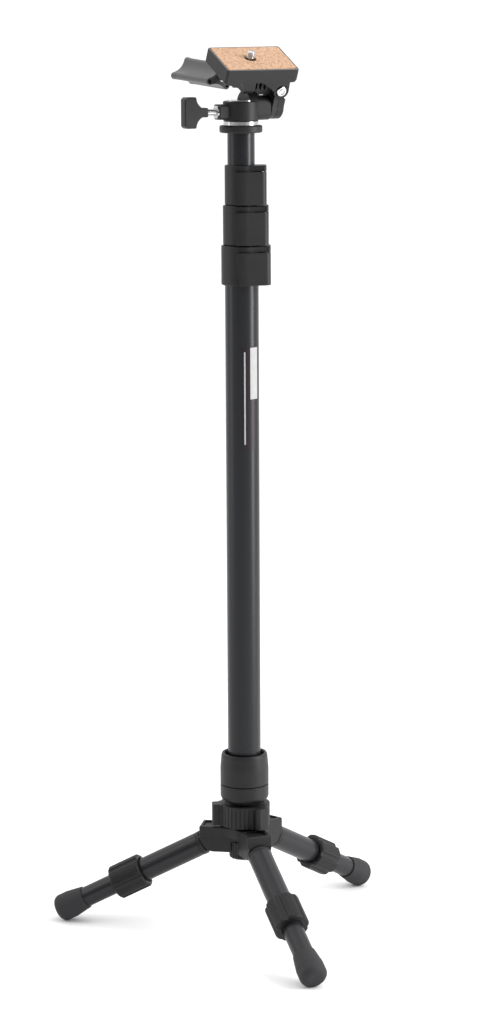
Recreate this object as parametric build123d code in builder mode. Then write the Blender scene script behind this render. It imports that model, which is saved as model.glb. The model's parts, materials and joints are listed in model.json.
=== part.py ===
from build123d import *
import os
from math import atan2, cos, degrees, radians, sin, sqrt, tan

# Free-standing camera monopod: folding three-leg base, four-section pole with flip locks, pan and tilt head.
# Millimetres. +Z is up, +Y is the back, and the origin is on the pole's axis at floor level.

# --- Clearances ---
running = 0.08  # radial play of a shaft in its bore
gap = 0.35  # room between neighbouring bodies

# --- Pole ---
main_tube_d = 28.0
tube_wall = 0.8
slide_play = 0.1
section_count = 4
tube_radii = [main_tube_d / 2 - k * (tube_wall + slide_play) for k in range(section_count)]
pole_foot_z = 132.0
tube_foot_step = 8.0
lock_z = 558.0
lock_h = 32.5
lock_pitch = 33.0
tube_seat_h = 24.0

# --- Flip locks ---
collar_radii = [16.9, 15.3, 13.7]
ear_reach = 7.2
ear_back_y = 7.5
band_h = 4.6
lever_top_h = 27.4
lever_tip_shares = [0.0, 0.14, 0.18]
lever_foot_h = 0.5
lever_proud = 3.6
barrel_r = 3.7
pin_y = -6.4
lever_pin_r = 1.5
split_w = 1.4
split_y = 0.9
clamp_screw_r = 1.1

# --- Label ---
label_z = (420.5, 508.0)
label_az = (-90.0, -31.0)
label_t = 0.25

# --- Legs ---
leg_azimuths = [50.0, 170.0, 290.0]
leg_pitch = 27.65
hinge_r = 25.5
leg_length = 158.0
foot_r = 11.8
foot_neck_r = 9.8
foot_dome_r = 6.0
foot_start = 130.0
foot_seat = 143.5
ring_start = 11.3
tube_start = 15.0
leg_plug_end = 27.0
upper_leg_r = 10.2
upper_leg_end = 86.0
lower_leg_r = 8.8
lower_leg_wall = 1.2
lower_leg_start = 28.5
nut_start = 71.0
nut_end = 99.5
nut_r = 15.0
hinge_pin_r = 2.5
tongue_w = 9.0
tongue_r = 7.4

# --- Hub ---
arm_w = 22.0
arm_end_r = 38.0
arm_recess = (20.0, 35.4)
arm_recess_w = 15.0
arm_recess_depth = 1.3
roof_z = (83.6, 93.0)
roof_boss_r = 16.0
roof_boss_z = 94.6
arm_foot_z = 71.0
arm_inset = 0.9
cheek_r = 10.9
hub_pocket_r = 14.6
hub_pocket_z = 80.0
spigot_r = 10.0
spigot_top_z = 125.35

# --- Clamp knob and pole socket ---
knob_z = (95.0, 113.3)
knob_r = 21.6
knob_lobe_r = 28.0
knob_lobe_w = 11.0
knob_lobe_azimuths = [66.0, 186.0, 306.0]
socket_r = 20.65
ring_z = (113.65, 130.3)
socket_neck_r = 13.5
sleeve_seat_z = 125.0
sleeve_z = 130.9
sleeve_top_z = 157.5
sleeve_lip_r = 18.9

# --- Head ---
pan_yaw = 27.0
tilt_z = 704.0
tilt_forward = 26.0
flange_z = (683.0, 689.0)
flange_r = 17.7
housing_z = (693.0, 708.7)
housing_r = 14.75
spindle_r = 6.0
spindle_top_z = 705.0
pan_lock_z = 700.2
boss_end_x = -21.5
block_start_x = 8.0
block_end_x = 22.6
block_top_z = 713.0
block_half = 10.5
axle_r = 4.0
axle_start_x = 11.2
axle_end_x = 31.6
drum_r = 13.2
drum_x = (2.5, 10.0)
yoke_bed_r = 15.8

# --- Tilting yoke and platform, in the tilted frame: x right, y back, z along the platform's normal ---
arm_x = (28.1, 34.8)
cheek_start_x = 23.6
cheek_top = 10.6
arm_end_round = 10.6
arm_half = 9.8
flip_x = 28.9
flip_up = 18.4
knuckle_half = 5.0
knuckle_r = 6.1
lug_half = 9.8
lug_r = 6.6
flip_bolt_r = 3.0
flip_head_r = 4.35
plate_size = (65.5, 41.2)
plate_x = 2.1
plate_up = (32.5, 44.05)
cork_size = (62.8, 38.5)
cork_up = (42.25, 44.45)
screw_x = -1.0
screw_r = 3.175
screw_stand = 6.0
screw_root = 0.4
screw_root_r = 2.7

# --- Handle, along its own axis ---
handle_droop = 23.5
grip_back = 43.8
grip_up = 3.1
grip_length = 67.0
grip_lobe_r = 3.0
grip_lobe_ring = 9.5
first_lobe = 105.0
rod_r = 2.75
rod_start = -30.0
rod_depth = 45.0

os.makedirs("parts", exist_ok=True)


def save(piece, name):
    """Name a finished piece and write it as its own STEP file."""
    piece.part.label = name
    export_step(piece.part, f"parts/{name}.step")


def front_of(plane):
    """The plane's x and z as a drawing seen from the front, extruding forwards."""
    return Plane(plane.origin, x_dir=plane.x_dir, z_dir=-plane.y_dir)


def side_of(plane):
    """The plane's y and z as a drawing seen from the right, extruding to the right."""
    return Plane(plane.origin, x_dir=plane.y_dir, z_dir=plane.x_dir)


def vertical(azimuth, x=0.0, y=0.0):
    """A plane that holds +Z and points along an azimuth: local x is outwards and local y is up."""
    outward = Vector(cos(radians(azimuth)), sin(radians(azimuth)), 0)
    across = Vector(sin(radians(azimuth)), -cos(radians(azimuth)), 0)
    return Plane((x, y, 0), x_dir=outward, z_dir=across)


# ---------------------------------------------------------------- legs
pitch = radians(leg_pitch)
dome_s = leg_length - foot_dome_r
hinge_z = dome_s * sin(pitch) + (foot_r - foot_dome_r) * cos(pitch) + foot_dome_r


def leg_plane(azimuth):
    """Local x runs down the leg from its hinge, local y is the leg's upper side, z is the hinge pin's line."""
    upright = vertical(azimuth)
    origin = upright.from_local_coords((hinge_r, hinge_z, 0))
    along = upright.x_dir * cos(pitch) - Vector(0, 0, 1) * sin(pitch)
    return Plane(origin, x_dir=along, z_dir=upright.z_dir)


def leg_section(azimuth, s):
    """A plane across the leg at distance s from the hinge."""
    leg = leg_plane(azimuth)
    return Plane(leg.origin + leg.x_dir * s, x_dir=leg.y_dir, z_dir=leg.x_dir)


upper_bore_r = lower_leg_r + slide_play
ring_r = upper_leg_r + 0.15
nut_groove_count = 6
serration_r = 0.45
seal_recess = 1.4
nut_bore_r = upper_leg_r + running
slit_length = 9.0

for number, azimuth in enumerate(leg_azimuths, start=1):
    leg = leg_plane(azimuth)

    # Hinge fitting: a tongue round the pin, a shoulder ring and a plug inside the upper tube
    with BuildPart() as fitting:
        with BuildSketch(leg):
            Circle(tongue_r)
            with Locations((ring_start / 2, 0)):
                Rectangle(ring_start, 2 * tongue_r)
        extrude(amount=tongue_w / 2, both=True)
        with BuildSketch(leg_section(azimuth, ring_start)):
            Circle(ring_r)
        extrude(amount=tube_start - ring_start)
        chamfer(fitting.edges().filter_by(GeomType.CIRCLE).sort_by(SortBy.RADIUS)[-2:], 0.5)
        with BuildSketch(leg_section(azimuth, tube_start)):
            Circle(upper_bore_r)
        extrude(amount=leg_plug_end - tube_start)
        with BuildSketch(leg):
            Circle(hinge_pin_r + running)
        extrude(amount=tongue_w, both=True, mode=Mode.SUBTRACT)
    save(fitting, f"leg_fitting_{number}")

    # Upper tube, with slits at its end that squeeze the lower tube
    with BuildPart() as upper:
        with BuildSketch(leg_section(azimuth, tube_start)):
            Circle(upper_leg_r)
            Circle(upper_bore_r, mode=Mode.SUBTRACT)
        extrude(amount=upper_leg_end - tube_start)
        with BuildSketch(leg_section(azimuth, upper_leg_end)):
            with PolarLocations(upper_leg_r, 4):
                Rectangle(5.0, 1.0)
        extrude(amount=-slit_length, mode=Mode.SUBTRACT)
    save(upper, f"upper_leg_tube_{number}")

    # Twist nut: six broad lobes with fine serrations, a seal recess and a bore round both tubes
    with BuildPart() as nut:
        with BuildSketch(leg_section(azimuth, nut_start)):
            Circle(nut_r)
        extrude(amount=nut_end - nut_start)
        chamfer(nut.edges().filter_by(GeomType.CIRCLE), 1.2)
        with BuildSketch(leg_section(azimuth, nut_start)):
            with PolarLocations(nut_r + 1.5, nut_groove_count, start_angle=30):
                Circle(3.2)
            for turn in (-12, -4, 4, 12):
                with PolarLocations(nut_r + 0.1, nut_groove_count, start_angle=turn):
                    Circle(serration_r)
        extrude(amount=nut_end - nut_start, mode=Mode.SUBTRACT)
        with BuildSketch(leg_section(azimuth, nut_start)):
            Circle(nut_bore_r + 1.2)
        extrude(amount=seal_recess, mode=Mode.SUBTRACT)
        with BuildSketch(leg_section(azimuth, nut_start)):
            Circle(nut_bore_r)
        extrude(amount=upper_leg_end + 0.5 - nut_start, mode=Mode.SUBTRACT)
        with BuildSketch(leg_section(azimuth, nut_start)):
            Circle(lower_leg_r + gap)
        extrude(amount=nut_end - nut_start, mode=Mode.SUBTRACT)
    save(nut, f"leg_twist_nut_{number}")

    with BuildPart() as lower:
        with BuildSketch(leg_section(azimuth, lower_leg_start)):
            Circle(lower_leg_r)
            Circle(lower_leg_r - lower_leg_wall, mode=Mode.SUBTRACT)
        extrude(amount=foot_seat - lower_leg_start)
    save(lower, f"lower_leg_tube_{number}")

    # Rubber foot: a flared cup with a domed end
    with BuildPart() as foot:
        with BuildSketch(leg):
            with BuildLine():
                Polyline((foot_start, 0), (foot_start, foot_neck_r), (foot_start + 14, foot_r))
                Line((foot_start + 14, foot_r), (dome_s, foot_r))
                RadiusArc((dome_s, foot_r), (leg_length, foot_r - foot_dome_r), foot_dome_r)
                Polyline((leg_length, foot_r - foot_dome_r), (leg_length, 0), (foot_start, 0))
            make_face()
        revolve(axis=Axis(leg.origin, leg.x_dir))
        with BuildSketch(leg_section(azimuth, foot_start)):
            Circle(lower_leg_r)
        extrude(amount=foot_seat - foot_start, mode=Mode.SUBTRACT)
    save(foot, f"leg_foot_{number}")

# ---------------------------------------------------------------- hub
corner_blend = 22.0
lower_corner_blend = 3.0
slot_r = tongue_r + gap
stud_r = 4.0

with BuildPart() as hub:
    # Roofed star plate with hollow curves between its arms
    with BuildSketch(Plane.XY.offset(roof_z[0])) as star:
        for azimuth in leg_azimuths:
            with Locations(Rot(Z=azimuth)):
                with Locations((arm_end_r / 2, 0)):
                    Rectangle(arm_end_r, arm_w)
        fillet(star.vertices().sort_by(Axis((0, 0, 0), (0, 0, 1))).sort_by(lambda v: v.X**2 + v.Y**2)[:3], corner_blend)
        fillet(star.vertices().sort_by(lambda v: v.X**2 + v.Y**2)[-6:], 1.5)
    extrude(amount=roof_z[1] - roof_z[0])
    chamfer(hub.faces().sort_by(Axis.Z)[-1].edges(), 0.8)
    # Cheeks below the roof, round about each hinge pin
    for azimuth in leg_azimuths:
        upright = vertical(azimuth)
        face_x = hinge_r + cheek_r * cos(pitch)
        face_z = hinge_z - cheek_r * sin(pitch)
        rise = roof_z[0] - face_z
        with BuildSketch(upright):
            with BuildLine():
                Polyline((0, roof_z[0]), (0, arm_foot_z), (hinge_r, hinge_z - cheek_r))
                ThreePointArc(
                    (hinge_r, hinge_z - cheek_r),
                    (hinge_r + cheek_r * sin(pitch), hinge_z - cheek_r * cos(pitch)),
                    (face_x, face_z),
                )
                Polyline((face_x, face_z), (face_x + rise * tan(pitch), roof_z[0]), (0, roof_z[0]))
            make_face()
        extrude(amount=arm_w / 2 - arm_inset, both=True)
    # Raised boss under the knob, and the spigot that the knob and the pole's socket turn on
    with BuildSketch(Plane.XY.offset(roof_z[0])):
        Circle(roof_boss_r)
    extrude(amount=roof_boss_z - roof_z[0])
    with BuildSketch(Plane.XY.offset(roof_z[0])):
        Circle(spigot_r)
    extrude(amount=spigot_top_z - roof_z[0])
    # Shallow recess in the top of each arm
    for azimuth in leg_azimuths:
        with BuildSketch(Plane.XY.offset(roof_z[1])):
            with Locations(Rot(Z=azimuth)):
                with Locations(((arm_recess[0] + arm_recess[1]) / 2, 0)):
                    RectangleRounded(arm_recess[1] - arm_recess[0], arm_recess_w, 2.0)
        extrude(amount=-arm_recess_depth, mode=Mode.SUBTRACT)
    # Pocket for the thumb nut, slots for the leg tongues, pin holes and the stud's hole
    with BuildSketch(Plane.XY.offset(arm_foot_z - 1)):
        Circle(hub_pocket_r)
    extrude(amount=hub_pocket_z - arm_foot_z + 1, mode=Mode.SUBTRACT)
    for azimuth in leg_azimuths:
        upright = vertical(azimuth)
        slot_start = hinge_r - slot_r
        edge_x = hinge_r + slot_r * sin(pitch)
        edge_z = hinge_z + slot_r * cos(pitch)
        with BuildSketch(upright):
            with BuildLine():
                Polyline(
                    (slot_start, hinge_z),
                    (edge_x, edge_z),
                    (edge_x + arm_end_r * cos(pitch), edge_z - arm_end_r * sin(pitch)),
                    (edge_x + arm_end_r * cos(pitch), arm_foot_z - 5),
                    (slot_start, arm_foot_z - 5),
                    close=True,
                )
            make_face()
            with Locations((hinge_r, hinge_z)):
                Circle(slot_r)
        extrude(amount=tongue_w / 2 + gap, both=True, mode=Mode.SUBTRACT)
        with BuildSketch(upright.offset(-arm_w / 2)):
            with Locations((hinge_r, hinge_z)):
                Circle(hinge_pin_r)
        extrude(amount=arm_w - 3.5, mode=Mode.SUBTRACT)
    with BuildSketch(Plane.XY.offset(arm_foot_z)):
        Circle(stud_r)
    extrude(amount=spigot_top_z - arm_foot_z, mode=Mode.SUBTRACT)
save(hub, "hub_body")

with BuildPart() as pins:
    for azimuth in leg_azimuths:
        with BuildSketch(vertical(azimuth).offset(-arm_w / 2 + arm_inset)):
            with Locations((hinge_r, hinge_z)):
                Circle(hinge_pin_r)
        extrude(amount=arm_w - 3.5 - arm_inset)
save(pins, "leg_hinge_pins")

# Centre stud: its head holds the socket down on the spigot, its foot carries the thumb nut
stud_head_r = 12.1
stud_head_h = 4.0
stud_foot_z = 65.6
with BuildPart() as stud:
    with BuildSketch(Plane.XY.offset(spigot_top_z)):
        Circle(stud_head_r)
    extrude(amount=stud_head_h)
    with BuildSketch(Plane.XY.offset(spigot_top_z + stud_head_h)):
        RegularPolygon(3.4, 6)
    extrude(amount=-2.4, mode=Mode.SUBTRACT)
    with BuildSketch(Plane.XY.offset(stud_foot_z)):
        Circle(stud_r)
    extrude(amount=spigot_top_z - stud_foot_z)
save(stud, "centre_stud")

thumb_nut_r = 13.5
thumb_nut_z = (66.2, hub_pocket_z - gap)
thumb_nut_groove_r = 0.55
nut_plate_r = 13.0
nut_plate_z = 64.8
with BuildPart() as thumb_nut:
    with BuildSketch(Plane.XY.offset(thumb_nut_z[0])):
        Circle(thumb_nut_r)
        with PolarLocations(thumb_nut_r, 32):
            Circle(thumb_nut_groove_r, mode=Mode.SUBTRACT)
        Circle(stud_r + running, mode=Mode.SUBTRACT)
    extrude(amount=thumb_nut_z[1] - thumb_nut_z[0])
save(thumb_nut, "hub_thumb_nut")

with BuildPart() as nut_plate:
    with BuildSketch(Plane.XY.offset(nut_plate_z)):
        Circle(nut_plate_r)
    extrude(amount=thumb_nut_z[0] - nut_plate_z)
    chamfer(nut_plate.edges().filter_by(GeomType.CIRCLE), 0.5)
    with BuildSketch(Plane.XY.offset(nut_plate_z + 0.6)):
        Circle(stud_r + running)
    extrude(amount=thumb_nut_z[0] - nut_plate_z - 0.6, mode=Mode.SUBTRACT)
save(nut_plate, "hub_thumb_nut_plate")

# ---------------------------------------------------------------- clamp knob
rib_count = 36
with BuildPart() as knob:
    with BuildSketch(Plane.XY.offset(knob_z[0])) as knob_outline:
        Circle(knob_r)
        with PolarLocations(knob_r + 0.05, rib_count):
            Circle(0.6, mode=Mode.SUBTRACT)
        for azimuth in knob_lobe_azimuths:
            with Locations(Rot(Z=azimuth)):
                with Locations((knob_lobe_r / 2, 0)):
                    RectangleRounded(knob_lobe_r, knob_lobe_w, 2.0)
                with Locations((knob_r / 2, 0)):
                    Rectangle(knob_r + 1.2, knob_lobe_w + 4.0)
    extrude(amount=knob_z[1] - knob_z[0])
    chamfer(knob.faces().sort_by(Axis.Z)[-1].edges(), 0.35)
    with BuildSketch(Plane.XY.offset(knob_z[0])):
        Circle(spigot_r + running)
    extrude(amount=knob_z[1] - knob_z[0], mode=Mode.SUBTRACT)
    with BuildSketch(Plane.XY.offset(knob_z[1])):
        Circle(socket_neck_r + 3.0)
    extrude(amount=-1.0, mode=Mode.SUBTRACT)
save(knob, "base_lock_knob")

# ---------------------------------------------------------------- pole socket
chamber_r = 12.6
sleeve_spigot_r = 17.0
with BuildPart() as socket_ring:
    with BuildSketch(Plane.XZ):
        with BuildLine():
            Polyline(
                (spigot_r + running, ring_z[0]),
                (socket_neck_r, ring_z[0]),
                (socket_neck_r, ring_z[0] + 1.8),
                (socket_r - 3.6, ring_z[0] + 1.8),
                (socket_r - 0.7, ring_z[0] + 4.6),
                (socket_r, ring_z[0] + 6.4),
                (socket_r, ring_z[1] - 0.5),
                (socket_r - 0.5, ring_z[1]),
                (sleeve_spigot_r, ring_z[1]),
                (sleeve_spigot_r, sleeve_seat_z),
                (spigot_r + running, sleeve_seat_z),
                close=True,
            )
        make_face()
    revolve(axis=Axis.Z)
save(socket_ring, "pole_socket_ring")

tube_seat_z = 148.0
annulus_r = 16.5
with BuildPart() as sleeve:
    with BuildSketch(Plane.XZ):
        with BuildLine():
            Polyline(
                (0, pole_foot_z),
                (0, pole_foot_z - 2),
                (chamber_r, pole_foot_z - 2),
                (chamber_r, sleeve_seat_z),
                (sleeve_spigot_r, sleeve_seat_z),
                (sleeve_spigot_r, sleeve_z),
                (socket_r - 0.4, sleeve_z),
                (socket_r, sleeve_z + 0.4),
                (socket_r, sleeve_top_z - 14.0),
            )
            Spline(
                (socket_r, sleeve_top_z - 14.0),
                (socket_r - 0.7, sleeve_top_z - 5.0),
                (sleeve_lip_r, sleeve_top_z),
                tangents=[(0, 1), (-0.7, 1)],
            )
            Polyline(
                (sleeve_lip_r, sleeve_top_z),
                (annulus_r + 0.6, sleeve_top_z),
                (annulus_r, sleeve_top_z - 1.6),
                (annulus_r, tube_seat_z),
                (tube_radii[0], tube_seat_z),
                (tube_radii[0], pole_foot_z),
                (0, pole_foot_z),
            )
        make_face()
    revolve(axis=Axis.Z)
save(sleeve, "pole_socket_sleeve")


# ---------------------------------------------------------------- pole tubes
def lock_base(k):
    """Height of the foot of lock k."""
    return lock_z + k * lock_pitch


for k, radius in enumerate(tube_radii):
    foot_z = pole_foot_z + k * tube_foot_step
    top_z = lock_base(k) + tube_seat_h if k < section_count - 1 else flange_z[0]
    with BuildPart() as tube:
        with BuildSketch(Plane.XY.offset(foot_z)):
            Circle(radius)
            Circle(radius - tube_wall, mode=Mode.SUBTRACT)
        extrude(amount=top_z - foot_z)
    save(tube, f"pole_tube_{k + 1}")

with BuildPart() as label:
    with BuildSketch(Plane.XY.offset(label_z[0])):
        with BuildLine():
            start, end = label_az
            inner = main_tube_d / 2
            outer = inner + label_t
            CenterArc((0, 0), inner, start, end - start)
            CenterArc((0, 0), outer, start, end - start)
            for az in label_az:
                PolarLine((inner * cos(radians(az)), inner * sin(radians(az))), label_t, az)
        make_face()
    extrude(amount=label_z[1] - label_z[0])
save(label, "pole_label")

# ---------------------------------------------------------------- flip locks
band_gap = 0.6
screw_head_r = 1.75
screw_head_h = 2.2
for k, collar_r in enumerate(collar_radii):
    number = k + 1
    foot_z = lock_base(k)
    band_z = foot_z + lock_h - band_h
    lever_z = (foot_z + lever_foot_h, foot_z + lever_top_h)
    reach_x = collar_r + ear_reach
    pin_x = reach_x - barrel_r
    seat_z = foot_z + tube_seat_h
    screw_z = band_z + band_h / 2
    # Where a line from the pin's barrel meets the collar's round front
    front_az = -62.0
    front_x = collar_r * cos(radians(front_az))
    front_y = collar_r * sin(radians(front_az))
    corner_y = pin_y - barrel_r

    # Collar: a split ring with a wider band at its top that carries the pin and the clamp screw
    with BuildPart() as collar:
        with BuildSketch(Plane.XY.offset(foot_z)):
            Circle(collar_r)
        extrude(amount=lock_h)
        with BuildSketch(Plane.XY.offset(band_z)) as band:
            Circle(collar_r)
            with BuildLine():
                Polyline(
                    (0, 0),
                    (front_x, front_y),
                    (pin_x, corner_y),
                    (reach_x, corner_y),
                    (reach_x, ear_back_y),
                    (collar_r * 0.6, ear_back_y),
                    close=True,
                )
            make_face()
            fillet(band.vertices().sort_by(lambda v: -v.X)[:2], 2.4)
        extrude(amount=band_h)
        # Ears beside the split, below the band
        with BuildSketch(Plane.XY.offset(foot_z + 2)):
            with Locations(((collar_r + reach_x) / 2 - 2, (split_y + ear_back_y) / 2)):
                Rectangle(reach_x - collar_r + 2, ear_back_y - split_y)
        extrude(amount=lock_h - band_h - 2)
        chamfer(collar.faces().sort_by(Axis.Z)[-1].edges(), 0.5)
        chamfer(collar.faces().sort_by(Axis.Z)[0].edges(), 0.6)
        # Tube seat below, guide bore for the next tube above
        with BuildSketch(Plane.XY.offset(foot_z)):
            Circle(tube_radii[k])
        extrude(amount=tube_seat_h, mode=Mode.SUBTRACT)
        with BuildSketch(Plane.XY.offset(foot_z)):
            Circle(tube_radii[k + 1] + slide_play)
        extrude(amount=lock_h, mode=Mode.SUBTRACT)
        with BuildSketch(Plane.XY.offset(foot_z)):
            with Locations((collar_r, split_y)):
                Rectangle(2 * collar_r, split_w)
        extrude(amount=lock_h, mode=Mode.SUBTRACT)
        with BuildSketch(Plane.XY.offset(foot_z)):
            with Locations((pin_x, pin_y)):
                Circle(lever_pin_r)
        extrude(amount=lock_h - 1.5, mode=Mode.SUBTRACT)
        # Hole and counterbore for the clamp screw
        with BuildSketch(Plane.XZ.offset(-ear_back_y)):
            with Locations((pin_x + 0.3, screw_z)):
                Circle(clamp_screw_r)
        extrude(amount=ear_back_y - split_y + 4.5, mode=Mode.SUBTRACT)
        with BuildSketch(Plane.XZ.offset(-ear_back_y)):
            with Locations((pin_x + 0.3, screw_z)):
                Circle(screw_head_r)
        extrude(amount=screw_head_h, mode=Mode.SUBTRACT)
    save(collar, f"lock_collar_{number}")

    with BuildPart() as screw:
        with BuildSketch(Plane.XZ.offset(-ear_back_y + 0.2)):
            with Locations((pin_x + 0.3, screw_z)):
                Circle(screw_head_r)
        extrude(amount=screw_head_h - 0.2)
        with BuildSketch(Plane.XZ.offset(-ear_back_y + 0.2)):
            with Locations((pin_x + 0.3, screw_z)):
                Circle(clamp_screw_r)
        extrude(amount=ear_back_y - split_y + 3.8)
        with BuildSketch(Plane.XZ.offset(-ear_back_y + 0.2)):
            with Locations((pin_x + 0.3, screw_z)):
                RegularPolygon(1.1, 6)
        extrude(amount=1.2, mode=Mode.SUBTRACT)
    save(screw, f"lock_clamp_screw_{number}")

    with BuildPart() as pin:
        with BuildSketch(Plane.XY.offset(foot_z + 1.5)):
            with Locations((pin_x, pin_y)):
                Circle(lever_pin_r)
        extrude(amount=lock_h - 3.0)
    save(pin, f"lock_lever_pin_{number}")

    # Lever: a thick shell round the collar's front that ends in the barrel on the pin
    inner_r = collar_r + gap
    outer_r = collar_r + lever_proud
    tangent_az = radians(-74.0)
    tip_top_az = -104.0
    bend_x = outer_r * cos(tangent_az)
    bend_y = outer_r * sin(tangent_az)
    run_x = reach_x - bend_x
    side_y = bend_y - run_x / tan(tangent_az)
    with BuildPart() as lever:
        with BuildSketch(Plane.XY.offset(lever_z[0])) as lever_plan:
            with BuildLine():
                CenterArc((0, 0), outer_r, -112, 112 - 74)
                Polyline(
                    (bend_x, bend_y),
                    (reach_x, side_y),
                    (reach_x, pin_y),
                    (0, pin_y),
                    (0, 0),
                    (outer_r * cos(radians(-112)), outer_r * sin(radians(-112))),
                )
            make_face()
            fillet(lever_plan.vertices().sort_by(lambda v: v.X - v.Y)[-1], 5.0)
            with Locations((pin_x, pin_y)):
                Circle(barrel_r)
            Circle(inner_r, mode=Mode.SUBTRACT)
            with BuildLine():
                Polyline(
                    (0, pin_y),
                    (pin_x - barrel_r, pin_y),
                    (pin_x - barrel_r, 5),
                    (-outer_r, 5),
                    (-outer_r, pin_y),
                    close=True,
                )
            make_face(mode=Mode.SUBTRACT)
        extrude(amount=lever_z[1] - lever_z[0])
        # Slanted free edge
        with BuildSketch(front_of(Plane((0, 0, lever_z[0])))):
            lever_h = lever_z[1] - lever_z[0]
            tip = lever_tip_shares[k]
            with BuildLine():
                Polyline(
                    (-outer_r, -1),
                    (-(0.10 + tip) * outer_r, -1),
                    (-(0.10 + tip) * outer_r, 0),
                    (-(0.22 + tip) * outer_r, lever_h - 4.0),
                    (-(0.15 + tip) * outer_r, lever_h),
                    (-(0.15 + tip) * outer_r, lever_h + 1),
                    (-outer_r, lever_h + 1),
                    close=True,
                )
            make_face()
        extrude(amount=outer_r + 2, mode=Mode.SUBTRACT)
        with BuildSketch(Plane.XY.offset(lever_z[0])):
            with Locations((pin_x, pin_y)):
                Circle(lever_pin_r + running)
        extrude(amount=lever_z[1] - lever_z[0], mode=Mode.SUBTRACT)
    save(lever, f"lock_lever_{number}")

# ---------------------------------------------------------------- head base
head = Plane.XY.rotated((0, 0, pan_yaw))
tube_4_bore_r = tube_radii[3] - tube_wall
with BuildPart() as flange:
    with BuildSketch(Plane.XY.offset(flange_z[0])):
        Circle(flange_r)
    extrude(amount=flange_z[1] - flange_z[0])
    fillet(flange.edges().filter_by(GeomType.CIRCLE), 1.4)
    with BuildSketch(Plane.XY.offset(flange_z[0] - 20)):
        Circle(tube_4_bore_r)
    extrude(amount=20)
    with BuildSketch(Plane.XY.offset(flange_z[1])):
        Circle(spindle_r)
    extrude(amount=spindle_top_z - flange_z[1])
save(flange, "head_flange")

with BuildPart() as base_ring:
    with BuildSketch(Plane.XY.offset(flange_z[1])):
        Circle(14.5)
    extrude(amount=housing_z[0] - gap - flange_z[1])
    chamfer(base_ring.edges().filter_by(GeomType.CIRCLE), 0.4)
    with BuildSketch(Plane.XY.offset(flange_z[1])):
        Circle(spindle_r)
    extrude(amount=housing_z[0] - flange_z[1], mode=Mode.SUBTRACT)
save(base_ring, "pan_base_ring")

boss_half = 6.2
lock_screw_r = 2.8
housing_h = housing_z[1] - housing_z[0]
with BuildPart() as housing:
    with BuildSketch(Plane.XY.offset(housing_z[0])):
        Circle(housing_r)
    extrude(amount=housing_h)
    chamfer(housing.edges().group_by(Axis.Z)[-1], 0.6)
    # Boss for the pan lock screw
    with BuildSketch(side_of(head).offset(boss_end_x)):
        with Locations((0, pan_lock_z)):
            RectangleRounded(2 * boss_half, 2 * boss_half, 2.5)
    extrude(amount=-boss_end_x - spindle_r - 3)
    # Block that carries the tilt axle
    with BuildSketch(side_of(head).offset(block_start_x)) as block:
        with Locations((0, (housing_z[0] + block_top_z) / 2)):
            Rectangle(2 * block_half, block_top_z - housing_z[0])
        fillet(block.vertices().group_by(Axis.Z)[-1], 7.0)
    extrude(amount=block_end_x - block_start_x)
    with BuildSketch(Plane.XY.offset(housing_z[0])):
        Circle(spindle_r + running)
    extrude(amount=spindle_top_z + gap - housing_z[0], mode=Mode.SUBTRACT)
    with BuildSketch(side_of(head).offset(boss_end_x)):
        with Locations((0, pan_lock_z)):
            Circle(lock_screw_r + running)
    extrude(amount=-boss_end_x - spindle_r, mode=Mode.SUBTRACT)
    with BuildSketch(side_of(head).offset(axle_start_x)):
        with Locations((0, tilt_z)):
            Circle(axle_r)
    extrude(amount=block_end_x - axle_start_x, mode=Mode.SUBTRACT)
    # Bed of the tilt drum
    with BuildSketch(side_of(head).offset(drum_x[0])):
        with Locations((0, tilt_z)):
            Circle(drum_r)
        with Locations((0, tilt_z - drum_r)):
            Rectangle(2 * drum_r, 2 * (housing_z[1] - tilt_z + drum_r), mode=Mode.SUBTRACT)
    extrude(amount=drum_x[1] - drum_x[0], mode=Mode.SUBTRACT)
save(housing, "pan_housing")

with BuildPart() as drum:
    with BuildSketch(side_of(head).offset(drum_x[0])):
        with Locations((0, tilt_z)):
            Circle(drum_r)
        with Locations((0, tilt_z - drum_r)):
            Rectangle(2 * drum_r, 2 * (housing_z[1] - tilt_z + drum_r), mode=Mode.SUBTRACT)
    extrude(amount=drum_x[1] - drum_x[0])
save(drum, "tilt_drum")

top_disc_h = 0.8
with BuildPart() as top_disc:
    with BuildSketch(Plane(head.origin + Vector(0, 0, housing_z[1]), x_dir=head.x_dir, z_dir=head.z_dir)):
        Circle(12.6)
        with Locations((drum_x[0] - 0.2 + 15, 0)):
            Rectangle(30, 30, mode=Mode.SUBTRACT)
    extrude(amount=top_disc_h)
save(top_disc, "pan_top_disc")

# ---------------------------------------------------------------- pan lock
washer_t = 1.6
with BuildPart() as lock_washer:
    with BuildSketch(side_of(head).offset(boss_end_x - washer_t)):
        with Locations((0, pan_lock_z)):
            Circle(5.2)
            Circle(lock_screw_r + running, mode=Mode.SUBTRACT)
        with Locations((-4.2, pan_lock_z)):
            Rectangle(3.6, 0.9, mode=Mode.SUBTRACT)
    extrude(amount=washer_t)
save(lock_washer, "pan_lock_washer")

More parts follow.
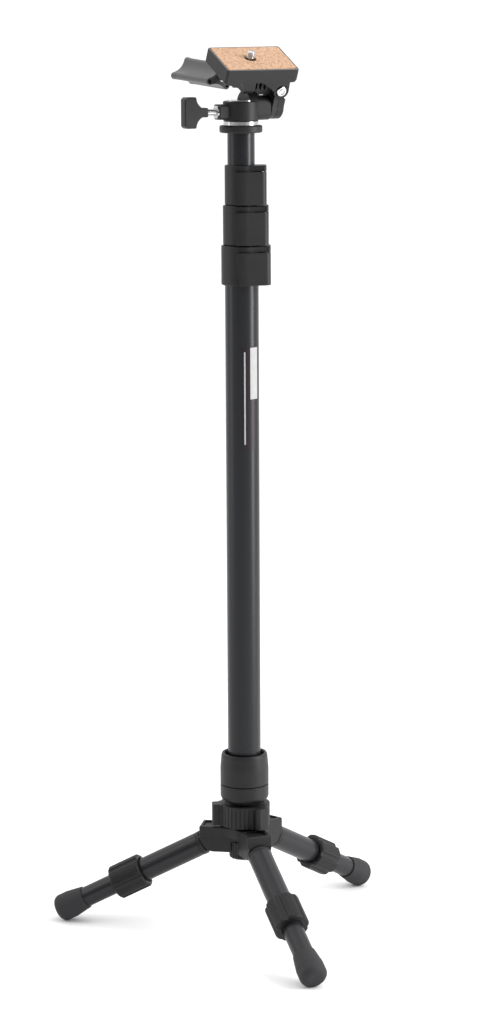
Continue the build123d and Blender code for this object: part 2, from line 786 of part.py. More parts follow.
knob_hub_x = -31.5
knob_waist_x = -36.6
wing_bend = (-39.9, 6.4)
wing_start_x = -42.2
knob_end_x = -52.9
wing_half = 12.7
wing_thick = 8.4
wing_hub_half = 3.8
with BuildPart() as wing:
    with BuildSketch(Plane(head.origin + Vector(0, 0, pan_lock_z), x_dir=head.x_dir, z_dir=-head.y_dir)) as wing_side:
        with BuildLine():
            Polyline((knob_hub_x, -wing_hub_half), (knob_hub_x, wing_hub_half), (knob_waist_x, wing_hub_half))
            ThreePointArc((knob_waist_x, wing_hub_half), wing_bend, (wing_start_x, wing_half))
            Polyline((wing_start_x, wing_half), (knob_end_x + 2.4, wing_half), (knob_end_x, wing_half - 2.0))
            Line((knob_end_x, wing_half - 2.0), (knob_end_x, -wing_half + 2.0))
            Polyline((knob_end_x, -wing_half + 2.0), (knob_end_x + 2.4, -wing_half), (wing_start_x, -wing_half))
            ThreePointArc((wing_start_x, -wing_half), (wing_bend[0], -wing_bend[1]), (knob_waist_x, -wing_hub_half))
            Line((knob_waist_x, -wing_hub_half), (knob_hub_x, -wing_hub_half))
        make_face()
    extrude(amount=wing_thick / 2, both=True)
    fillet(wing.edges().filter_by(lambda e: e.length > 3.5), 1.0)
    with BuildSketch(side_of(head).offset(knob_hub_x)):
        with Locations((0, pan_lock_z)):
            Circle(lock_screw_r)
    extrude(amount=-12, mode=Mode.SUBTRACT)
save(wing, "pan_lock_knob")

with BuildPart() as lock_screw:
    with BuildSketch(side_of(head).offset(knob_hub_x - 12)):
        with Locations((0, pan_lock_z)):
            Circle(lock_screw_r)
    extrude(amount=-knob_hub_x + 12 - spindle_r - gap)
save(lock_screw, "pan_lock_screw")

# ---------------------------------------------------------------- tilt axle
with BuildPart() as axle:
    with BuildSketch(side_of(head).offset(axle_start_x)):
        with Locations((0, tilt_z)):
            Circle(axle_r)
    extrude(amount=axle_end_x - axle_start_x)
save(axle, "tilt_axle")

with BuildPart() as tilt_washer:
    with BuildSketch(side_of(head).offset(block_end_x)):
        with Locations((0, tilt_z)):
            Circle(8.2)
            Circle(axle_r, mode=Mode.SUBTRACT)
    extrude(amount=cheek_start_x - gap - block_end_x)
save(tilt_washer, "tilt_washer")

# ---------------------------------------------------------------- tilting yoke
lean = radians(tilt_forward)
head_right = Vector(cos(radians(pan_yaw)), sin(radians(pan_yaw)), 0)
head_back = Vector(-sin(radians(pan_yaw)), cos(radians(pan_yaw)), 0)
tilt_normal = Vector(0, 0, 1) * cos(lean) - head_back * sin(lean)
tilted = Plane((0, 0, tilt_z), x_dir=head_right, z_dir=tilt_normal)
tilt_side = side_of(tilted)
tilt_front = front_of(tilted)


arm_top = flip_up - lug_r - 0.55
yoke_x = (-4.8, 5.0)
yoke_top = plate_up[0] - gap
yoke_front_z = 18.5
web_half = (-1.5, knuckle_half)
web_foot = 11.6
wall_foot_x = 8.0
with BuildPart() as yoke:
    # Outer arm beside the head: round at the axle, straight up to the flip hinge
    with BuildSketch(tilt_side.offset(arm_x[0])):
        Circle(arm_end_round)
        with Locations((0, arm_top / 2)):
            Rectangle(2 * arm_half, arm_top)
    extrude(amount=arm_x[1] - arm_x[0])
    chamfer(yoke.faces().sort_by(Axis(tilted.origin, tilted.x_dir))[-1].edges(), 0.8)
    # Bridge from the arm over the cheek, hollowed round the flip hinge's lugs
    with BuildSketch(tilt_front.offset(-arm_half)):
        with BuildLine():
            Polyline(
                (cheek_start_x, cheek_top),
                (arm_x[0] + 1, cheek_top),
                (arm_x[0] + 1, flip_up - 2),
                (cheek_start_x, flip_up - 2),
                close=True,
            )
        make_face()
        with Locations((flip_x, flip_up)):
            Circle(lug_r + gap + 0.05, mode=Mode.SUBTRACT)
        with Locations((cheek_start_x - 1.4, flip_up)):
            Circle(3.0, mode=Mode.SUBTRACT)
    extrude(amount=2 * arm_half)
    # Centre block over the drum, with a wall behind it that holds the handle
    with BuildSketch(tilt_side.offset(yoke_x[0])):
        with BuildLine():
            Polyline(
                (-8, yoke_top),
                (-8, yoke_front_z),
                (-5.5, 15.0),
                (11.0, 11.8),
                (14.0, 11.6),
                (23.0, 7.9),
                (23.0, 17.0),
                (17.5, 30.0),
                (16.5, yoke_top),
                close=True,
            )
        make_face()
    extrude(amount=yoke_x[1] - yoke_x[0])
    with BuildSketch(tilt_side.offset(yoke_x[0])):
        Circle(yoke_bed_r)
    extrude(amount=yoke_x[1] - yoke_x[0], mode=Mode.SUBTRACT)
    # Keel that flares from the block to the left half of the platform
    with BuildSketch(tilt_front.offset(-8.0)):
        with BuildLine():
            Polyline(
                (-22.0, yoke_top),
                (yoke_x[0] + 1, yoke_top),
                (yoke_x[0] + 1, yoke_front_z + 1.5),
                (yoke_x[0], yoke_front_z + 1.5),
            )
            Spline((yoke_x[0], yoke_front_z + 1.5), (-7.6, 25.0), (-13.5, 28.8), (-22.0, yoke_top))
        make_face()
    extrude(amount=16.0)
    # Web from the centre block to the flip hinge's knuckle, between the platform's lugs
    with BuildSketch(tilt_front.offset(-web_half[1])):
        with BuildLine():
            Polyline(
                (yoke_x[1] - 1, yoke_bed_r + 1),
                (10.5, yoke_bed_r - 0.6),
                (12.5, web_foot),
                (arm_x[0] + 1, web_foot),
                (arm_x[1] - 1.2, web_foot),
                (arm_x[1] - 1.2, flip_up - 2),
                (flip_x, flip_up + 2),
                (flip_x - 8, yoke_top),
                (yoke_x[1] - 1, yoke_top),
                close=True,
            )
        make_face()
    extrude(amount=web_half[1] - web_half[0])
    # Wall behind the web that closes the hollow beside the block
    for wall_start, wall_foot in ((yoke_x[1] - 1, 12.5), (wall_foot_x, 1.4)):
        with BuildSketch(tilt_side.offset(wall_start)):
            with BuildLine():
                Polyline((15.3, 19.0), (15.3, wall_foot), (18.3, wall_foot), (18.3, 18.0), close=True)
            make_face()
        extrude(amount=cheek_start_x - wall_start)
    # Ribs on the web's front
    for rib_x in (9.0, 13.0, 17.0):
        with BuildSketch(tilt_front.offset(-web_half[0] - 0.5)):
            with Locations((rib_x, (yoke_top + yoke_bed_r + 1.5) / 2)):
                Rectangle(1.4, yoke_top - yoke_bed_r - 1.5)
        extrude(amount=4.0)
    with BuildSketch(tilt_front.offset(-knuckle_half)):
        with Locations((flip_x, flip_up)):
            Circle(knuckle_r)
        with Locations(((arm_x[0] + arm_x[1]) / 2, (arm_top - 1 + flip_up) / 2)):
            Rectangle(arm_x[1] - arm_x[0], flip_up - arm_top + 1)
    extrude(amount=2 * knuckle_half)
    # Bores for the axle, the flip bolt and the handle's rod
    with BuildSketch(tilt_side.offset(arm_x[0])):
        Circle(axle_r + running)
    extrude(amount=4.5, mode=Mode.SUBTRACT)
    with BuildSketch(tilt_front.offset(-knuckle_half)):
        with Locations((flip_x, flip_up)):
            Circle(flip_bolt_r + running)
    extrude(amount=2 * knuckle_half, mode=Mode.SUBTRACT)
    droop = radians(handle_droop)
    handle_dir = tilted.y_dir * cos(droop) - tilt_normal * sin(droop)
    grip_origin = tilted.from_local_coords((0, grip_back, grip_up))
    handle_plane = Plane(grip_origin, x_dir=head_right, z_dir=handle_dir)
    with BuildSketch(handle_plane.offset(rod_start - gap)):
        Circle(rod_r + running)
    extrude(amount=-rod_start, mode=Mode.SUBTRACT)
save(yoke, "tilt_yoke")

with BuildPart() as cheek:
    with BuildSketch(tilt_side.offset(cheek_start_x)):
        Circle(arm_end_round)
        with Locations((0, cheek_top / 2)):
            Rectangle(2 * arm_half, cheek_top)
        Circle(axle_r + running, mode=Mode.SUBTRACT)
    extrude(amount=arm_x[0] - cheek_start_x)
    chamfer(cheek.faces().sort_by(Axis(tilted.origin, tilted.x_dir))[-1].outer_wire().edges(), 0.35)
save(cheek, "tilt_cheek")

# ---------------------------------------------------------------- handle
with BuildPart() as rod:
    with BuildSketch(handle_plane.offset(rod_start)):
        Circle(rod_r)
    extrude(amount=rod_depth - rod_start)
    chamfer(rod.edges().filter_by(GeomType.CIRCLE), 0.5)
save(rod, "handle_rod")


grip_face = Plane(grip_origin, x_dir=-head_right, z_dir=handle_dir)
lobe_swing = 95.0
flute_r = 5.4
with BuildPart() as grip:
    for station, scale in ((0.0, 0.95), (1.6, 1.0), (grip_length - 8, 1.01), (grip_length, 1.05)):
        reach = grip_lobe_ring * scale
        bulge = grip_lobe_r * scale
        flute = flute_r * scale
        with BuildSketch(grip_face.offset(station)):
            with BuildLine():
                for lobe in range(3):
                    angle = first_lobe + 120.0 * lobe
                    centre = (reach * cos(radians(angle)), reach * sin(radians(angle)))
                    CenterArc(centre, bulge, angle - lobe_swing, 2 * lobe_swing)
                    lead = radians(angle + lobe_swing)
                    trail = radians(angle + 120 - lobe_swing)
                    next_x = reach * cos(radians(angle + 120))
                    next_y = reach * sin(radians(angle + 120))
                    middle = radians(angle + 60)
                    ThreePointArc(
                        (centre[0] + bulge * cos(lead), centre[1] + bulge * sin(lead)),
                        (flute * cos(middle), flute * sin(middle)),
                        (next_x + bulge * cos(trail), next_y + bulge * sin(trail)),
                    )
            make_face()
    loft(ruled=True)
    for lobe in range(3):
        angle = radians(first_lobe + 120.0 * lobe)
        with BuildSketch(grip_face):
            with Locations((grip_lobe_ring * cos(angle), grip_lobe_ring * sin(angle))):
                Circle(1.25)
        extrude(amount=14, mode=Mode.SUBTRACT)
    with BuildSketch(grip_face):
        Circle(rod_r)
    extrude(amount=rod_depth, mode=Mode.SUBTRACT)
save(grip, "handle_grip")

# ---------------------------------------------------------------- platform
pocket_r = 10.0
pocket_up = 38.0
plate_right = plate_x + plate_size[0] / 2
with BuildPart() as platform:
    with BuildSketch(tilted.offset(plate_up[0])) as slab:
        with Locations((plate_x, 0)):
            RectangleRounded(plate_size[0], plate_size[1], 2.2)
    extrude(amount=plate_up[1] - plate_up[0])
    chamfer(platform.faces().sort_by(Axis(tilted.origin, tilted.z_dir))[-1].edges(), 0.5)
    # Chamfer under the right-hand end
    with BuildSketch(tilt_front.offset(-plate_size[1] / 2 - 1)):
        with BuildLine():
            Polyline(
                (plate_right + 1, plate_up[0] - 1),
                (plate_right - 3.0, plate_up[0] - 1),
                (plate_right - 3.0, plate_up[0]),
                (plate_right, plate_up[0] + 2.5),
                (plate_right + 1, plate_up[0] + 2.5),
                close=True,
            )
        make_face()
    extrude(amount=plate_size[1] + 2, mode=Mode.SUBTRACT)
    # Hinge lugs in front of and behind the yoke's knuckle
    for near in (-lug_half, knuckle_half + gap):
        with BuildSketch(tilt_front.offset(near)):
            with BuildLine():
                Polyline(
                    (plate_right - 0.4, plate_up[0] + 3.0),
                    (flip_x + lug_r, flip_up + 0.5),
                    (flip_x, flip_up - 2),
                    (flip_x - lug_r, flip_up),
                    (yoke_x[1] + 0.6, 29.4),
                    (yoke_x[1] + 0.6, plate_up[0] + 0.5),
                    close=True,
                )
            make_face()
            with Locations((flip_x, flip_up)):
                Circle(lug_r)
        extrude(amount=lug_half - knuckle_half - gap)
    # Cork recess, screw bore, knob pocket, bolt bore and counterbore
    with BuildSketch(tilted.offset(cork_up[0])):
        with Locations((plate_x, 0)):
            RectangleRounded(cork_size[0], cork_size[1], 1.4)
    extrude(amount=4, mode=Mode.SUBTRACT)
    with BuildSketch(tilted.offset(plate_up[0] - 1)):
        with Locations((screw_x, 0)):
            Circle(pocket_r)
    extrude(amount=pocket_up - plate_up[0] + 1, mode=Mode.SUBTRACT)
    with BuildSketch(tilted.offset(pocket_up - 1)):
        with Locations((screw_x, 0)):
            Circle(screw_r + running)
    extrude(amount=8, mode=Mode.SUBTRACT)
    with BuildSketch(tilt_front.offset(-lug_half + 1.2)):
        with Locations((flip_x, flip_up)):
            Circle(flip_bolt_r)
    extrude(amount=2 * lug_half, mode=Mode.SUBTRACT)
    with BuildSketch(tilt_front.offset(lug_half - 3.0)):
        with Locations((flip_x, flip_up)):
            Circle(flip_head_r + 0.9)
    extrude(amount=4, mode=Mode.SUBTRACT)
save(platform, "platform")

with BuildPart() as cork:
    with BuildSketch(tilted.offset(cork_up[0])):
        with Locations((plate_x, 0)):
            RectangleRounded(cork_size[0], cork_size[1], 1.4)
        with Locations((screw_x, 0)):
            Circle(5.0, mode=Mode.SUBTRACT)
    extrude(amount=cork_up[1] - cork_up[0])
save(cork, "cork_pad")

with BuildPart() as flip_bolt:
    with BuildSketch(tilt_front.offset(lug_half - 3.0)):
        with Locations((flip_x, flip_up)):
            Circle(flip_head_r)
    extrude(amount=3.9)
    chamfer(flip_bolt.edges().filter_by(GeomType.CIRCLE), 0.5)
    with BuildSketch(tilt_front.offset(lug_half + 0.9)):
        with Locations((flip_x, flip_up)):
            Circle(2.6)
            Circle(1.9, mode=Mode.SUBTRACT)
    extrude(amount=-0.5, mode=Mode.SUBTRACT)
    with BuildSketch(tilt_front.offset(-lug_half + 1.2)):
        with Locations((flip_x, flip_up)):
            Circle(flip_bolt_r)
    extrude(amount=2 * lug_half - 4.2)
save(flip_bolt, "flip_hinge_bolt")

screw_knob_up = (plate_up[0] + gap + 0.3, pocket_up - gap)
with BuildPart() as camera_screw:
    with BuildSketch(tilted.offset(cork_up[1] + screw_root)):
        with Locations((screw_x, 0)):
            Circle(screw_r)
    extrude(amount=screw_stand - screw_root)
    chamfer(camera_screw.edges().sort_by(Axis(tilted.origin, tilted.z_dir))[-1], 0.6)
    with BuildSketch(tilted.offset(screw_knob_up[0] + 0.6)):
        with Locations((screw_x, 0)):
            Circle(screw_root_r)
    extrude(amount=cork_up[1] + screw_root - screw_knob_up[0] - 0.6)
save(camera_screw, "camera_screw")

with BuildPart() as screw_knob:
    with BuildSketch(tilted.offset(screw_knob_up[0])):
        with Locations((screw_x, 0)):
            Circle(9.2)
            with PolarLocations(9.2, 24):
                Circle(0.5, mode=Mode.SUBTRACT)
    extrude(amount=screw_knob_up[1] - screw_knob_up[0])
    with BuildSketch(tilted.offset(screw_knob_up[0] + 0.6)):
        with Locations((screw_x, 0)):
            Circle(screw_root_r)
    extrude(amount=screw_knob_up[1] - screw_knob_up[0], mode=Mode.SUBTRACT)
save(screw_knob, "camera_screw_knob")
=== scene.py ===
"""A camera monopod with a folding three-leg base and a pan and tilt head, in metres."""

import json
from math import cos, pi, radians, sin, sqrt

import bmesh
import bpy
from mathutils import Matrix, Vector


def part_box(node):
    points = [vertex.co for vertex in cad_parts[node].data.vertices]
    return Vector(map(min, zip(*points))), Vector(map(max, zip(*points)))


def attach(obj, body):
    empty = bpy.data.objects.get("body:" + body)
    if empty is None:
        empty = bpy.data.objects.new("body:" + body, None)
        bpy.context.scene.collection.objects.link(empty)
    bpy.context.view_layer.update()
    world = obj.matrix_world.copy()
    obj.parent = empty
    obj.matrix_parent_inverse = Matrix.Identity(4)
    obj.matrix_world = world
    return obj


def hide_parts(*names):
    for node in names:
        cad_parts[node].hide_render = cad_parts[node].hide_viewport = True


MM = 0.001

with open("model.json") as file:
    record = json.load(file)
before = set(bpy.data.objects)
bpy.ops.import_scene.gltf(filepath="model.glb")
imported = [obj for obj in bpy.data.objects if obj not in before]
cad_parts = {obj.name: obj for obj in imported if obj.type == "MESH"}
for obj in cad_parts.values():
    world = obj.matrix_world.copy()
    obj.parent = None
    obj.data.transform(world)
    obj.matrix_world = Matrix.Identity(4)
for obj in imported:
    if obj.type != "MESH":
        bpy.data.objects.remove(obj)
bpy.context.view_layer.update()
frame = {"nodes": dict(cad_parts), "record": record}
nodes = frame["nodes"]
record = frame["record"]
joints = {joint["name"]: joint for joint in record["behaviour"]["joints"]}
slot_of = {entry["node"]: entry["material_slot"] for entry in record["subparts"]}
body_of_node = {}
for body, members in record["behaviour"]["bodies"].items():
    for member in members:
        body_of_node[member] = body


# ---------------------------------------------------------------- building blocks of the materials
def new_material(name, roughness, metallic=0.0, shine=0.28):
    """A material with a plain Principled shader, its node tree and the shader.

    The shine is low, because the pale floor would otherwise wash out the upright dark fronts.
    """
    material = bpy.data.materials.new(name)
    material.use_nodes = True
    shader = material.node_tree.nodes["Principled BSDF"]
    shader.inputs["Roughness"].default_value = roughness
    shader.inputs["Metallic"].default_value = metallic
    shader.inputs["Specular IOR Level"].default_value = shine
    return material, material.node_tree, shader


def noise(tree, grain, detail=3.0, stretch=(1, 1, 1)):
    """Grey noise whose blobs are about `grain` metres wide, in the object's own coordinates."""
    coords = tree.nodes.new("ShaderNodeTexCoord")
    mapping = tree.nodes.new("ShaderNodeMapping")
    mapping.inputs["Scale"].default_value = stretch
    tree.links.new(coords.outputs["Object"], mapping.inputs["Vector"])
    texture = tree.nodes.new("ShaderNodeTexNoise")
    texture.inputs["Scale"].default_value = 1 / grain
    texture.inputs["Detail"].default_value = detail
    tree.links.new(mapping.outputs["Vector"], texture.inputs["Vector"])
    return texture.outputs["Fac"]


def cells(tree, grain):
    """Cell texture whose cells are about `grain` metres wide."""
    coords = tree.nodes.new("ShaderNodeTexCoord")
    texture = tree.nodes.new("ShaderNodeTexVoronoi")
    texture.inputs["Scale"].default_value = 1 / grain
    tree.links.new(coords.outputs["Object"], texture.inputs["Vector"])
    return texture


def ramp(tree, source, stops):
    """Colour ramp over a grey source. Each stop is (place, colour)."""
    node = tree.nodes.new("ShaderNodeValToRGB")
    while len(node.color_ramp.elements) < len(stops):
        node.color_ramp.elements.new(0.5)
    for element, (place, colour) in zip(node.color_ramp.elements, stops):
        element.position = place
        element.color = (*colour, 1)
    tree.links.new(source, node.inputs["Fac"])
    return node.outputs["Color"]


def bump(tree, shader, height, depth, strength=1.0):
    """Bumps of `depth` metres from a grey height."""
    node = tree.nodes.new("ShaderNodeBump")
    node.inputs["Distance"].default_value = depth
    node.inputs["Strength"].default_value = strength
    tree.links.new(height, node.inputs["Height"])
    tree.links.new(node.outputs["Normal"], shader.inputs["Normal"])


def vary_roughness(tree, shader, source, low, high):
    """Roughness that wanders between two values."""
    spread = tree.nodes.new("ShaderNodeMapRange")
    spread.inputs["To Min"].default_value = low
    spread.inputs["To Max"].default_value = high
    tree.links.new(source, spread.inputs["Value"])
    tree.links.new(spread.outputs["Result"], shader.inputs["Roughness"])


def vary_colour(tree, shader, source, colour, share):
    """Base colour that wanders by a share of itself, to both sides of a colour."""
    darker = tuple(c * (1 - share) for c in colour)
    lighter = tuple(c * (1 + share) for c in colour)
    tone = ramp(tree, source, ((0.3, darker), (0.7, lighter)))
    tree.links.new(tone, shader.inputs["Base Color"])


# ---------------------------------------------------------------- one function for each kind of material
def moulded_plastic(name, colour, roughness, shine=0.28):
    """Fine-grained moulding with slight unevenness of tone and gloss."""
    material, tree, shader = new_material(name, roughness, shine=shine)
    broad = noise(tree, grain=14 * MM)
    vary_colour(tree, shader, broad, colour, share=0.1)
    vary_roughness(tree, shader, broad, roughness - 0.05, roughness + 0.05)
    fine = noise(tree, grain=0.35 * MM, detail=2.0)
    bump(tree, shader, fine, depth=0.02 * MM)
    return material


def anodised_tube(name, colour, stretch):
    """Dark anodised aluminium, whose marks follow the tube where the stretch says so."""
    material, tree, shader = new_material(name, roughness=0.3)
    streaks = noise(tree, grain=0.5 * MM, detail=2.0, stretch=stretch)
    vary_colour(tree, shader, streaks, colour, share=0.07)
    vary_roughness(tree, shader, streaks, low=0.26, high=0.34)
    bump(tree, shader, streaks, depth=0.004 * MM)
    return material


def bright_steel(name, roughness=0.22, colour=(0.52, 0.52, 0.53)):
    """Machined steel with fine marks."""
    material, tree, shader = new_material(name, roughness, metallic=1.0)
    marks = noise(tree, grain=0.4 * MM)
    vary_colour(tree, shader, marks, colour, share=0.07)
    vary_roughness(tree, shader, marks, roughness - 0.05, roughness + 0.08)
    bump(tree, shader, marks, depth=0.006 * MM)
    return material


def moulded_rubber(name, colour):
    """Dull rubber with a fine matt skin."""
    material, tree, shader = new_material(name, roughness=0.68)
    fine = noise(tree, grain=0.5 * MM, detail=4.0)
    vary_colour(tree, shader, fine, colour, share=0.15)
    bump(tree, shader, fine, depth=0.05 * MM)
    return material


def granulated_cork(name):
    """Cork sheet: small tan granules of different tones, with dark specks over them."""
    material, tree, shader = new_material(name, roughness=0.85)
    granules = cells(tree, grain=1.1 * MM)
    grey = tree.nodes.new("ShaderNodeSeparateColor")
    tree.links.new(granules.outputs["Color"], grey.inputs["Color"])
    granule_tones = (
        (0.0, (0.31, 0.165, 0.085)),
        (0.12, (0.455, 0.27, 0.158)),
        (0.5, (0.545, 0.345, 0.225)),
        (1.0, (0.62, 0.42, 0.285)),
    )
    speck_tones = (
        (0.28, (0.55, 0.5, 0.45)),
        (0.42, (1, 1, 1)),
    )
    blend = tree.nodes.new("ShaderNodeMix")
    blend.data_type = "RGBA"
    blend.blend_type = "MULTIPLY"
    blend.inputs["Factor"].default_value = 1.0
    tree.links.new(ramp(tree, grey.outputs["Red"], granule_tones), blend.inputs["A"])
    specks = noise(tree, grain=0.6 * MM, detail=5.0)
    tree.links.new(ramp(tree, specks, speck_tones), blend.inputs["B"])
    tree.links.new(blend.outputs["Result"], shader.inputs["Base Color"])
    bump(tree, shader, granules.outputs["Distance"], depth=0.12 * MM, strength=0.5)
    return material


def printed_film(name, colour, roughness=0.35):
    """Smooth film with a faint orange peel."""
    material, tree, shader = new_material(name, roughness)
    broad = noise(tree, grain=3 * MM)
    vary_colour(tree, shader, broad, colour, share=0.05)
    bump(tree, shader, broad, depth=0.01 * MM)
    return material


ALONG_POLE = (1, 1, 0.03)
ALL_WAYS = (1, 1, 1)
GLOSSY = 0.6

materials = {
    "tube_dark": anodised_tube("tube_dark_look", (0.010, 0.0105, 0.0125), ALONG_POLE),
    "plastic_dark": moulded_plastic("plastic_dark_look", (0.012, 0.012, 0.013), 0.48),
    "plastic_light": moulded_plastic("plastic_light_look", (0.02, 0.02, 0.022), 0.4),
    "nut_plastic": moulded_plastic("nut_plastic_look", (0.01, 0.01, 0.011), 0.46),
    "foot_rubber": moulded_rubber("foot_rubber_look", (0.026, 0.026, 0.028)),
    "steel_bright": bright_steel("steel_bright_look"),
    "pin_dark": bright_steel("pin_dark_look", 0.4, (0.03, 0.03, 0.034)),
    "cork": granulated_cork("cork_look"),
    "label_dark": printed_film("label_dark_look", (0.012, 0.008, 0.012)),
}
grip_look = moulded_plastic("grip_look", (0.03, 0.03, 0.033), 0.36, shine=GLOSSY)
# The rim's light tone is a painted highlight along the cork's edge, lighter than the plastic's own colour.
painted_highlight_rim_look = moulded_plastic("painted_highlight_rim_look", (0.10, 0.10, 0.11), 0.35, shine=GLOSSY)
leg_tube_look = anodised_tube("leg_tube_look", (0.015, 0.015, 0.017), ALL_WAYS)
label_white_look = printed_film("label_white_look", (0.39, 0.385, 0.385), 0.45)


def look_for(node):
    """The material of a CAD node: that of its slot, but for the leg tubes and the grip."""
    if node.startswith(("upper_leg_tube", "lower_leg_tube")):
        return leg_tube_look
    if node == "handle_grip":
        return grip_look
    return materials[slot_of[node]]


# ---------------------------------------------------------------- helpers for pieces
def dress(obj, material):
    """Give an object one material, whatever it had before."""
    obj.data.materials.clear()
    obj.data.materials.append(material)


def shade(obj, angle=30):
    """Smooth shading that keeps edges sharper than `angle` degrees."""
    for face in obj.data.polygons:
        face.use_smooth = True
    obj.data.set_sharp_from_angle(angle=radians(angle))


def linked_object(name, data):
    """A new object in the scene."""
    made = bpy.data.objects.new(name, data)
    bpy.context.scene.collection.objects.link(made)
    return made


def softened(node, width):
    """A copy of a CAD node with small rounded edges, standing for the node. Angles are in degrees."""
    weld_distance = 0.002 * MM
    flat_angle = 0.5
    sharp_angle = 32
    mesh = nodes[node].data.copy()
    build = bmesh.new()
    build.from_mesh(mesh)
    bmesh.ops.remove_doubles(build, verts=build.verts, dist=weld_distance)
    bmesh.ops.dissolve_limit(build, angle_limit=radians(flat_angle), verts=build.verts, edges=build.edges)
    build.to_mesh(mesh)
    build.free()
    piece = linked_object(node + "_soft", mesh)
    bevel = piece.modifiers.new("edges", "BEVEL")
    bevel.width = width
    bevel.segments = 2
    bevel.limit_method = "ANGLE"
    bevel.angle_limit = radians(sharp_angle)
    bevel.use_clamp_overlap = True
    bevel.harden_normals = False
    shade(piece, sharp_angle)
    normals = piece.modifiers.new("normals", "WEIGHTED_NORMAL")
    normals.keep_sharp = False
    dress(piece, look_for(node))
    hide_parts(node)
    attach(piece, body_of_node[node])
    return piece


def grid_object(name, rows, cap):
    """A mesh from closed rows of points, whose two ends may be capped."""
    mesh = bpy.data.meshes.new(name)
    build = bmesh.new()
    made = [[build.verts.new(point) for point in row] for row in rows]
    count = len(rows[0])
    for lower, upper in zip(made, made[1:]):
        for i in range(count):
            j = (i + 1) % count
            build.faces.new((lower[i], lower[j], upper[j], upper[i]))
    if cap:
        build.faces.new(list(reversed(made[0])))
        build.faces.new(made[-1])
    bmesh.ops.recalc_face_normals(build, faces=build.faces)
    build.to_mesh(mesh)
    build.free()
    return linked_object(name, mesh)


# ---------------------------------------------------------------- the CAD nodes
for name, node in nodes.items():
    dress(node, look_for(name))
    shade(node)

# Moulded and cast pieces get small rounded edges
edge_widths = {
    "platform": 0.45 * MM,
    "tilt_yoke": 0.35 * MM,
    "tilt_cheek": 0.3 * MM,
    "pan_housing": 0.35 * MM,
    "tilt_drum": 0.3 * MM,
    "pan_lock_knob": 0.5 * MM,
    "hub_body": 0.4 * MM,
    "base_lock_knob": 0.25 * MM,
    "cork_pad": 0.2 * MM,
}
for number in (1, 2, 3):
    edge_widths[f"lock_lever_{number}"] = 0.35 * MM
    edge_widths[f"lock_collar_{number}"] = 0.3 * MM
soft = {name: softened(name, width) for name, width in edge_widths.items()}

# ---------------------------------------------------------------- cork and its rim
# The platform's own directions, from the tilt axis and the camera screw's mount.
# Heights here and on the screw are above the tilt axis.
pivot = Vector(joints["tilt"]["pos_m"])
head_right = Vector(joints["tilt"]["axis"]).normalized()
screw_mount = next(mount for mount in record["mounts"] if mount["name"] == "camera_screw")
normal = Vector(screw_mount["axis"]).normalized()
plate_back = normal.cross(head_right)

cork_top = 44.45 * MM
cork_half_x = 31.4 * MM
cork_half_y = 19.25 * MM
cork_middle = pivot + head_right * (2.1 * MM) + normal * cork_top

# The cork is a little smaller than its recess, so its outer points move inwards
cork_gap = 0.4 * MM
outer_share = 0.6
for vertex in soft["cork_pad"].data.vertices:
    offset = vertex.co - cork_middle
    right = offset.dot(head_right) / cork_half_x
    back = offset.dot(plate_back) / cork_half_y
    if max(abs(right), abs(back)) > outer_share:
        vertex.co -= head_right * (right * cork_gap) + plate_back * (back * cork_gap)


def rounded_loop(outwards, corner, up, steps=6):
    """Points round the cork, at a distance outside its edge, with rounded corners."""
    straight_x = cork_half_x + outwards - corner
    straight_y = cork_half_y + outwards - corner
    loop = []
    for quarter, (side, rear) in enumerate(((1, 1), (-1, 1), (-1, -1), (1, -1))):
        for i in range(steps + 1):
            angle = radians(90 * (quarter + i / steps))
            x = side * straight_x + corner * cos(angle)
            y = rear * straight_y + corner * sin(angle)
            loop.append(cork_middle + head_right * x + plate_back * y + normal * (up - cork_top))
    return loop


# A rim runs round the cork, its light tone a painted highlight along the edge. Each point of its section
# is a distance outside the cork, a corner radius and a height, in millimetres.
rim_profile = (
    (1.05, 1.9, 43.7),
    (0.85, 1.7, 44.15),
    (0.55, 1.5, 44.3),
    (0.2, 1.3, 44.3),
    (0.1, 1.2, 43.7),
)
rim_rows = [rounded_loop(outwards * MM, corner * MM, up * MM) for outwards, corner, up in rim_profile]
rim = grid_object("platform_rim", rim_rows + [rim_rows[0]], cap=False)
shade(rim, angle=40)
dress(rim, painted_highlight_rim_look)
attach(rim, body_of_node["platform"])

# ---------------------------------------------------------------- camera screw with its helical thread
screw_foot = pivot + head_right * (-1.0 * MM)
shank_low = 33.8 * MM
tip_high = 50.44 * MM
thread_low = 44.9 * MM
thread_high = 49.8 * MM
thread_r = 3.165 * MM
root_r = 2.62 * MM
thread_pitch = 1.27 * MM
# The thread's section: how steep its flanks are, and how much of them is sunk below the root
flank_rise = 2.6
flank_sunk = 0.4
points_per_turn = 48
row_step = 0.1 * MM


def screw_radius(up, turn_share):
    """Radius of the screw at a height, where `turn_share` is the share of a turn about its axis."""
    if up < thread_low:
        return root_r
    place = ((up - thread_low) / thread_pitch - turn_share) % 1
    crest = min(1, max(0, flank_rise * (1 - abs(2 * place - 1)) - flank_sunk))
    tip_cut = max(0, up - thread_high)
    return min(root_r + (thread_r - root_r) * crest, thread_r - tip_cut)


def screw_row(up):
    """Points once round the screw, at a height."""
    row = []
    for j in range(points_per_turn):
        share = j / points_per_turn
        out = head_right * cos(2 * pi * share) + plate_back * sin(2 * pi * share)
        row.append(screw_foot + normal * up + out * screw_radius(up, share))
    return row


row_count = round((tip_high - shank_low) / row_step)
screw_rows = [screw_row(shank_low + (tip_high - shank_low) * i / row_count) for i in range(row_count + 1)]
screw = grid_object("camera_screw_thread", screw_rows, cap=True)
shade(screw, angle=50)
dress(screw, materials["steel_bright"])
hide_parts("camera_screw")
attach(screw, body_of_node["camera_screw"])

# ---------------------------------------------------------------- plain bar and stripe on the dark label
label_low, label_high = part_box("pole_label")
label_r = sqrt(max(v.co.x**2 + v.co.y**2 for v in nodes["pole_label"].data.vertices))


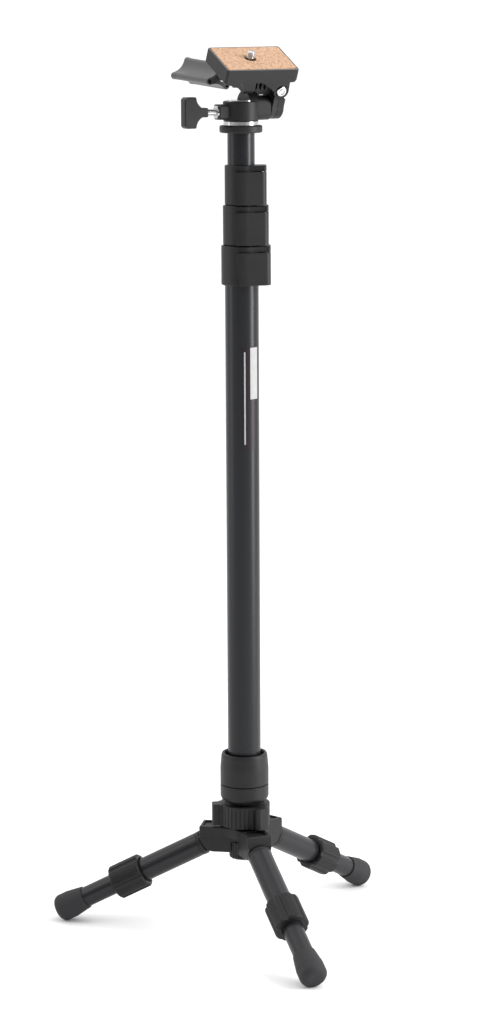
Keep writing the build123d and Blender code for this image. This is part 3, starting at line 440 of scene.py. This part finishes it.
def label_print(name, azimuths, low, high, steps=24):
    """A thin white print on the label, between two azimuths in degrees and two heights."""
    inner = label_r - 0.1 * MM
    outer = label_r + 0.06 * MM
    rows = []
    for i in range(steps + 1):
        azimuth = radians(azimuths[0] + (azimuths[1] - azimuths[0]) * i / steps)
        out = Vector((cos(azimuth), sin(azimuth), 0))
        corners = ((inner, low), (outer, low), (outer, high), (inner, high))
        rows.append([out * r + Vector((0, 0, z)) for r, z in corners])
    piece = grid_object(name, rows, cap=True)
    shade(piece)
    dress(piece, label_white_look)
    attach(piece, "pole")


bar_low = label_low.z + 0.49 * (label_high.z - label_low.z)
label_print("label_bar", (-62, -30.5), bar_low, label_high.z - 1.5 * MM)
label_print("label_stripe", (-84, -79), label_low.z + 5 * MM, label_high.z - 5 * MM)

# ---------------------------------------------------------------- floor and surround
# A plain floor that reaches 21 m beyond the pole, and 9 m on the viewer's side
bpy.ops.mesh.primitive_plane_add(size=30, location=(0, 6, 0))
floor = bpy.context.object
floor.name = "floor"
floor_look, _, floor_shader = new_material("floor_look", roughness=0.9, shine=0.1)
floor_shader.inputs["Base Color"].default_value = (0.93, 0.93, 0.93, 1)
dress(floor, floor_look)

# A white surround that darkens towards the viewer, on -Y, so that fronts stay deep and edges catch the light.
# Its strength follows the Y of the direction in which it is seen.
world = bpy.data.worlds.new("studio")
bpy.context.scene.world = world
world.use_nodes = True
sky = world.node_tree
sky_coords = sky.nodes.new("ShaderNodeTexCoord")
sky_axes = sky.nodes.new("ShaderNodeSeparateXYZ")
sky.links.new(sky_coords.outputs["Generated"], sky_axes.inputs["Vector"])
sky_range = sky.nodes.new("ShaderNodeMapRange")
darkest_y, darkest_strength = -1.0, -0.08
brightest_y, brightest_strength = 0.5, 1.08
sky_range.inputs["From Min"].default_value = darkest_y
sky_range.inputs["From Max"].default_value = brightest_y
sky_range.inputs["To Min"].default_value = darkest_strength
sky_range.inputs["To Max"].default_value = brightest_strength
sky.links.new(sky_axes.outputs["Y"], sky_range.inputs["Value"])
sky.nodes["Background"].inputs["Color"].default_value = (1, 1, 1, 1)
sky.links.new(sky_range.outputs["Result"], sky.nodes["Background"].inputs["Strength"])


# ---------------------------------------------------------------- lights and camera
def softbox(name, place, width, height, power):
    """A tall area light that faces the middle of the pole."""
    pole_middle = Vector((0, 0, 0.4))
    data = bpy.data.lights.new(name, "AREA")
    data.shape = "RECTANGLE"
    data.size = width
    data.size_y = height
    data.energy = power
    lamp = linked_object(name, data)
    lamp.location = place
    lamp.rotation_euler = (pole_middle - Vector(place)).to_track_quat("-Z", "Y").to_euler()


softbox("left_box", (-1.7, -0.3, 0.9), width=0.4, height=1.8, power=6)
softbox("right_box", (1.55, -0.42, 0.9), width=0.5, height=1.8, power=36)
overhead_data = bpy.data.lights.new("overhead", "SUN")
overhead_data.energy = 1.7
overhead_data.angle = radians(110)
overhead = linked_object("overhead", overhead_data)
overhead.rotation_euler = (radians(8), radians(-10), 0)

bpy.context.scene.view_settings.view_transform = "Standard"
camera_data = bpy.data.cameras.new("camera")
camera_data.lens = 103.43
camera_data.sensor_width = 36
camera_data.clip_end = 60
camera = linked_object("camera", camera_data)
camera.location = (0, -2.4327, 0.8186)
pitch_down = 10.54
roll = -0.33
yaw = 0.07
turn = (
    Matrix.Rotation(radians(yaw), 4, "Z")
    @ Matrix.Rotation(radians(90 - pitch_down), 4, "X")
    @ Matrix.Rotation(radians(roll), 4, "Z")
)
camera.rotation_euler = turn.to_euler()
bpy.context.scene.camera = camera
